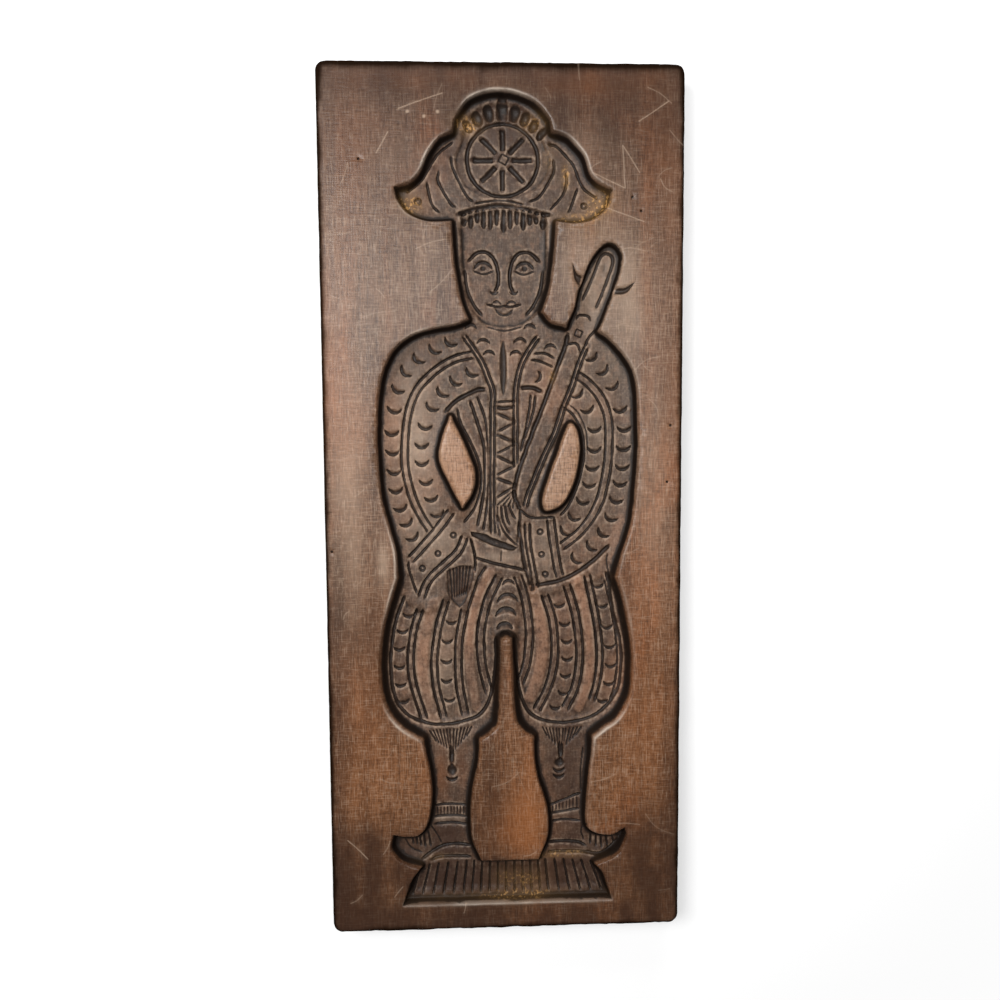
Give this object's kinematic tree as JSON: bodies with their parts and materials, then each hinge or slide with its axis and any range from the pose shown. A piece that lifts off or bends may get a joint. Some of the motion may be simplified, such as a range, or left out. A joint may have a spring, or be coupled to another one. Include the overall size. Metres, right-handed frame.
{
  "type": "wooden biscuit mould",
  "caption": "Flat rectangular wooden board with a standing costumed figure carved as a shallow recess into its face, for pressing spiced biscuit dough",
  "frame": {"origin": "centre of the flat back face, which the board lies on", "axes": "+Z out of the carved face; +Y along the board towards the figure's head; +X to the right, seen from the face"},
  "size_m": [0.247, 0.6, 0.028],
  "materials": {
    "wood": "old oiled hardwood, worn satin"
  },
  "bodies": {
    "root": {"mould_board": "wood"}
  },
  "joints": []
}
